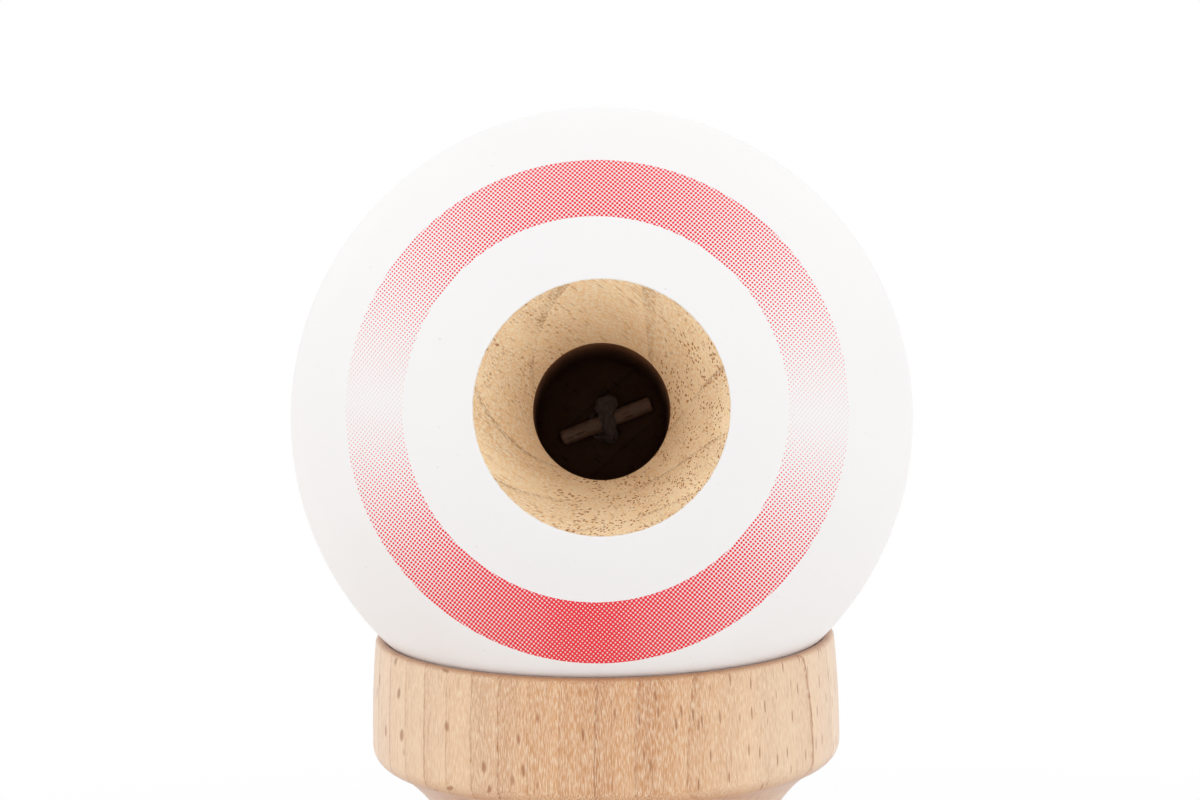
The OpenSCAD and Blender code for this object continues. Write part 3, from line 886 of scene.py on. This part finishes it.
def coil_point(turn):
    """Place on the coil in mm after a number of turns: in along the table, up half a turn, out on
    top."""
    climb = min(max((turn - COIL_TURNS) / CLIMB_TURNS, 0), 1)
    wide = COIL_R + COIL_STEP * COIL_TURNS
    outward = max(turn - COIL_TURNS - CLIMB_TURNS, 0)
    reach = wide - COIL_STEP * min(turn, COIL_TURNS) + COIL_STEP * outward
    angle = 2 * math.pi * turn
    return (
        COIL_SIDE[0] - wide + reach * math.cos(angle),
        COIL_SIDE[1] + reach * math.sin(angle),
        COIL_SIDE[2] + COIL_LIFT * (1 - math.cos(math.pi * climb)) / 2,
    )


laid_string, given = new_tree(
    "plies_laid_round_a_route",
    {
        "Route": "Geometry",
        "Ply radius": "Float",
        "Lay length": "Float",
        "Ring step": "Float",
        "Material": "Material",
    },
    "String",
)
ply_r = given["Ply radius"]
line = add(laid_string, "GeometryNodeMeshToCurve", {0: given["Route"]})
bent = add(laid_string, "GeometryNodeCurveSplineType", {0: line}, spline_type="CATMULL_ROM")
stepped = add(
    laid_string,
    "GeometryNodeResampleCurve",
    {"Curve": bent, "Length": given["Ring step"]},
    mode="LENGTH",
)
plies = add(
    laid_string,
    "GeometryNodeDuplicateElements",
    {"Geometry": stepped, "Amount": PLIES},
    out=None,
    domain="SPLINE",
)
ply_number = plies["Duplicate Index"]
ply_turn = add(laid_string, "ShaderNodeMath", {0: ply_number, 1: PLIES}, operation="DIVIDE")
run_length = add(laid_string, "GeometryNodeSplineParameter", out="Length")
lays = add(
    laid_string, "ShaderNodeMath", {0: run_length, 1: given["Lay length"]}, operation="DIVIDE"
)
turns = add(laid_string, "ShaderNodeMath", {0: lays, 1: ply_turn}, operation="ADD")
angle = add(laid_string, "ShaderNodeMath", {0: turns, 1: 2 * math.pi}, operation="MULTIPLY")
normal = add(laid_string, "GeometryNodeInputNormal")
tangent = add(laid_string, "GeometryNodeInputTangent")
spoke = add(
    laid_string,
    "ShaderNodeVectorRotate",
    {"Vector": normal, "Axis": tangent, "Angle": angle},
    rotation_type="AXIS_ANGLE",
)
spoke_length = add(laid_string, "ShaderNodeMath", {0: ply_r, 1: PLY_SPREAD}, operation="MULTIPLY")
aside = add(
    laid_string, "ShaderNodeVectorMath", {0: spoke, "Scale": spoke_length}, operation="SCALE"
)
laid = add(laid_string, "GeometryNodeSetPosition", {"Geometry": plies["Geometry"], "Offset": aside})
marked = add(
    laid_string,
    "GeometryNodeStoreNamedAttribute",
    {"Geometry": laid, "Name": "along", "Value": run_length},
    data_type="FLOAT",
    domain="POINT",
)
ply_round = add(
    laid_string, "GeometryNodeCurvePrimitiveCircle", {"Resolution": PLY_SIDES, "Radius": ply_r}
)
round_mark = add(
    laid_string,
    "GeometryNodeStoreNamedAttribute",
    {"Geometry": ply_round, "Name": "around", "Value": add(laid_string, "GeometryNodeInputIndex")},
    data_type="FLOAT",
    domain="POINT",
)
tubes = add(
    laid_string,
    "GeometryNodeCurveToMesh",
    {"Curve": marked, "Profile Curve": round_mark, "Fill Caps": True},
)
end_tree(laid_string, tubes, given["Material"], "String")

# Spun polyester: brown and soft, each ply a bundle of fine filaments that slant across it and catch
# light along their length. Filaments are drawn 0.08 mm wide, several times their real width, so
# that they show.
SLANT_PER_M, CHANGES_PER_M, FILAMENT_SCALE, FUZZ_HEIGHT = 900, 160, 2.2, 0.05
yarn, tree, shader = new_material("polyester_yarn_laid")
along = add(tree, "ShaderNodeAttribute", out="Fac", attribute_name="along")
around = add(tree, "ShaderNodeAttribute", out="Fac", attribute_name="around")
slant = add(tree, "ShaderNodeMath", {0: along, 1: SLANT_PER_M, 2: around}, operation="MULTIPLY_ADD")
slow = add(tree, "ShaderNodeMath", {0: along, 1: CHANGES_PER_M}, operation="MULTIPLY")
filament_cells = add(tree, "ShaderNodeCombineXYZ", {"X": slant, "Y": slow})
filaments = add(
    tree,
    "ShaderNodeTexNoise",
    {"Vector": filament_cells, "Scale": FILAMENT_SCALE, "Detail": 3},
)
yarn_colour = add(
    tree,
    "ShaderNodeMix",
    {0: filaments, MIX_A: linear("#876A5A"), MIX_B: linear("#B2937F")},
    **RGBA,
)
tree.links.new(yarn_colour, shader.inputs["Base Color"])
fuzz = add(
    tree, "ShaderNodeBump", {"Height": filaments, "Strength": 0.6, "Distance": FUZZ_HEIGHT * MM}
)
tree.links.new(fuzz, shader.inputs["Normal"])
shader.inputs["Roughness"].default_value = 0.75
shader.inputs["Sheen Weight"].default_value = 0.25
shader.inputs["Specular IOR Level"].default_value = 0.3


def string_along(name, route):
    """A length of the string along a route in metres."""
    return from_tree(
        name,
        laid_string,
        route,
        Ply_radius=STRING_D * MM / 2 / (1 + PLY_SPREAD),
        Lay_length=LAY_LENGTH * MM,
        Ring_step=RING_STEP * MM,
        Material=yarn,
    )


coil_rings = round(COIL_RINGS * (2 * COIL_TURNS + CLIMB_TURNS))
coil_route = [coil_point(i / COIL_RINGS) for i in range(coil_rings + 1)]
free_route = [
    *((0, y, z) for y, z in FROM_BALL),
    *reversed(coil_route),
    *((0, y, z) for y, z in TO_SARADO),
]
free_route = [tuple(x * MM for x in point) for point in free_route]
free_string = string_along("string_free", free_route)
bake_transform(free_string)
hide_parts("string_from_ball", "string_coil", "string_to_sarado")


# String's held ends: the turn and knot round the toggle inside the ball, and the run through the
# sarado's wall and the handle to the stop knot. Each knot is the same three-ply string pulled
# tight. A second knot lies behind the toggle and closes the string's hole.
LOOP_R, LOOP_STEPS, LOOP_START, LOOP_SHIFT = 1.6, 24, -0.5, 1.2
BEHIND_OUT, BEHIND_STEP, BEHIND_POINTS = 0.6, 1.5, 10
KNOT_STEPS, KNOT_DEPTH = 60, 1.6
TOGGLE_KNOT_R, TOGGLE_KNOT_PLACE = 1.35, (0.5, 1.35, 1.6)
HIDDEN_KNOT_R, HIDDEN_KNOT_PLACE = 1.75, (0, 0, -16.1)
KEN_KNOT_R, KEN_KNOT_GAP = 2.0, 0.3
RUN_START, RUN_INTO_KNOT = 15.9, 1


def knot_along(name, radius, placed):
    """A length of the string in an overhand knot that fits in a ball of that radius in mm."""
    scale = (radius - STRING_D / 2) / 3 * MM
    points = []
    for i in range(KNOT_STEPS + 1):
        t = 2 * math.pi * i / KNOT_STEPS
        across = math.sin(t) + 2 * math.sin(2 * t)
        up = math.cos(t) - 2 * math.cos(2 * t)
        deep = -KNOT_DEPTH * math.sin(3 * t)
        points.append(tuple(placed @ Vector((across * scale, up * scale, deep * scale))))
    return string_along(name, points)


behind_start = -BALL_R - BEHIND_OUT - TOGGLE_PLACE
loop_route = [(-TOGGLE_SLIP, 0, behind_start + i * BEHIND_STEP) for i in range(BEHIND_POINTS)]
for i in range(LOOP_STEPS + 1):
    turn = math.radians(-90 - 360 * i / LOOP_STEPS)
    shift = LOOP_START + LOOP_SHIFT * i / LOOP_STEPS
    loop_route.append((shift, LOOP_R * math.cos(turn), LOOP_R * math.sin(turn)))
loop_route = [tuple(on_toggle @ (Vector(point) * MM)) for point in loop_route]
ball_end = string_along("string_in_ball_loop", loop_route)
ball_knot = knot_along(
    "string_knot_on_toggle",
    TOGGLE_KNOT_R,
    on_toggle @ Matrix.Translation(Vector(TOGGLE_KNOT_PLACE) * MM),
)
hidden_knot = knot_along(
    "string_knot_behind_toggle",
    HIDDEN_KNOT_R,
    on_bore @ Matrix.Translation(Vector(HIDDEN_KNOT_PLACE) * MM),
)
knot_y = -(recess_floor + KEN_KNOT_GAP + KEN_KNOT_R)
# The run is straight, with a point every 2 mm through the handle.
run_stations = (RUN_START, *range(13, -4, -2), knot_y + RUN_INTO_KNOT)
ken_end = string_along("string_in_sarado_run", [(0, y * MM, KEN_HEIGHT * MM) for y in run_stations])
ken_knot = knot_along(
    "string_stop_knot",
    KEN_KNOT_R,
    at_ken @ Matrix.Translation((0, knot_y * MM, 0)) @ facing_front,
)
for piece, body in (
    (ball_end, "string_end"),
    (ball_knot, "string_end"),
    (hidden_knot, "string_end"),
    (ken_end, "ken_and_sarado"),
    (ken_knot, "ken_and_sarado"),
):
    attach(piece, body)
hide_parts("string_in_ball")
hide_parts("string_in_sarado")


# Table: a plain pale surface that fades to white away from the toy, as a sheet of white paper does
# in a light tent.
TABLE_R, FADE_START, FADE_END = 3.0, 0.12, 0.27
WHITE = (1, 1, 1, 1)


def shown_plain(tree):
    """1 for rays from the camera, a gloss or glass, which show the stage as plain white, else 0."""
    ray = add(tree, "ShaderNodeLightPath", out=None)
    shown = ray["Is Camera Ray"]
    for kind in ("Is Glossy Ray", "Is Transmission Ray"):
        shown = add(
            tree, "ShaderNodeMath", {0: shown, 1: ray[kind]}, operation="ADD", use_clamp=True
        )
    return shown


disc = bmesh.new()
bmesh.ops.create_circle(disc, cap_ends=True, segments=96, radius=TABLE_R)
table_mesh = bpy.data.meshes.new("table")
disc.to_mesh(table_mesh)
disc.free()
table = new_object("table", table_mesh)
paper, tree, shader = new_material("white_paper")
shader.inputs["Base Color"].default_value = linear("#F2F2F2")
shader.inputs["Roughness"].default_value = 0.8
at = add(tree, "ShaderNodeTexCoord", out="Object")
away = add(tree, "ShaderNodeVectorMath", {0: at}, "Value", operation="LENGTH")
faded = add(
    tree,
    "ShaderNodeMapRange",
    {"Value": away, "From Min": FADE_START, "From Max": FADE_END},
    interpolation_type="SMOOTHSTEP",
)
fade = add(tree, "ShaderNodeMath", {0: faded, 1: shown_plain(tree)}, operation="MULTIPLY")
glow = add(tree, "ShaderNodeEmission", {"Color": WHITE, "Strength": 1.0})
mixed = add(tree, "ShaderNodeMixShader", {0: fade, 1: shader.outputs[0], 2: glow})
tree.links.new(mixed, tree.nodes["Material Output"].inputs["Surface"])
table.data.materials.append(paper)


# Light: a white tent round the toy with a dimmer roof, and an opening in front where the camera
# stands, so what faces the camera is a little darker and the bore stays dark. The camera and
# anything glossy see the tent as plain white.
TENT_LEVEL, FRONT_LEVEL, ROOF_SHARE = 1.18, 0.92, 0.87
OPENING_FULL, OPENING_EDGE, OPENING_HEADING = 28, 55, (0, -1, 0.09)
ROOF_START, ROOF_FULL = 0.3, 0.9
world = bpy.data.worlds.new("light_tent")
world.use_nodes = True
bpy.context.scene.world = world
tree = world.node_tree
tree.nodes.clear()
heading = add(tree, "ShaderNodeTexCoord", out="Generated")
frontness = add(
    tree,
    "ShaderNodeVectorMath",
    {0: heading, 1: OPENING_HEADING},
    "Value",
    operation="DOT_PRODUCT",
)
walls = add(
    tree,
    "ShaderNodeMapRange",
    {
        "Value": frontness,
        "From Min": math.cos(math.radians(OPENING_EDGE)),
        "From Max": math.cos(math.radians(OPENING_FULL)),
        "To Min": TENT_LEVEL,
        "To Max": FRONT_LEVEL,
    },
    interpolation_type="SMOOTHSTEP",
)
height = add(tree, "ShaderNodeSeparateXYZ", {0: heading}, "Z")
roof = add(
    tree,
    "ShaderNodeMapRange",
    {
        "Value": height,
        "From Min": ROOF_START,
        "From Max": ROOF_FULL,
        "To Min": 1,
        "To Max": ROOF_SHARE,
    },
)
level = add(tree, "ShaderNodeMath", {0: walls, 1: roof}, operation="MULTIPLY")
tent_light = add(tree, "ShaderNodeBackground", {"Color": WHITE, "Strength": level})
plain_white = add(tree, "ShaderNodeBackground", {"Color": WHITE, "Strength": 1.0})
both_lights = add(
    tree, "ShaderNodeMixShader", {0: shown_plain(tree), 1: tent_light, 2: plain_white}
)
add(tree, "ShaderNodeOutputWorld", {"Surface": both_lights}, out=None)
bpy.context.scene.view_settings.view_transform = "Standard"


# Camera: about 0.42 m in front of the ball and a little above it, with a long lens, so that the
# ball fills the frame and only the big cup's band shows below it.
CAMERA_AWAY, CAMERA_RISE, CAMERA_ROLL = 0.417, 8.5, 0.8
FOCAL_PIXELS, IMAGE_W, SENSOR_W = 4314, 1200, 36
AIM_LEFT, AIM_UP = 1.8, 18.2
camera_data = bpy.data.cameras.new("camera")
camera_data.sensor_fit = "HORIZONTAL"
camera_data.sensor_width = SENSOR_W
camera_data.lens = FOCAL_PIXELS / IMAGE_W * SENSOR_W
camera_data.clip_start = 0.01
camera = new_object("camera", camera_data)
rise = math.radians(CAMERA_RISE)
away = Vector((0, -math.cos(rise), math.sin(rise))) * CAMERA_AWAY
camera.location = on_bore.translation + away
camera.rotation_euler = (
    Matrix.Rotation(math.radians(90) - rise, 3, "X")
    @ Matrix.Rotation(math.radians(-CAMERA_ROLL), 3, "Z")
    @ Matrix.Rotation(math.atan(AIM_UP / FOCAL_PIXELS), 3, "X")
    @ Matrix.Rotation(math.atan(AIM_LEFT / FOCAL_PIXELS), 3, "Y")
).to_euler()
bpy.context.scene.camera = camera
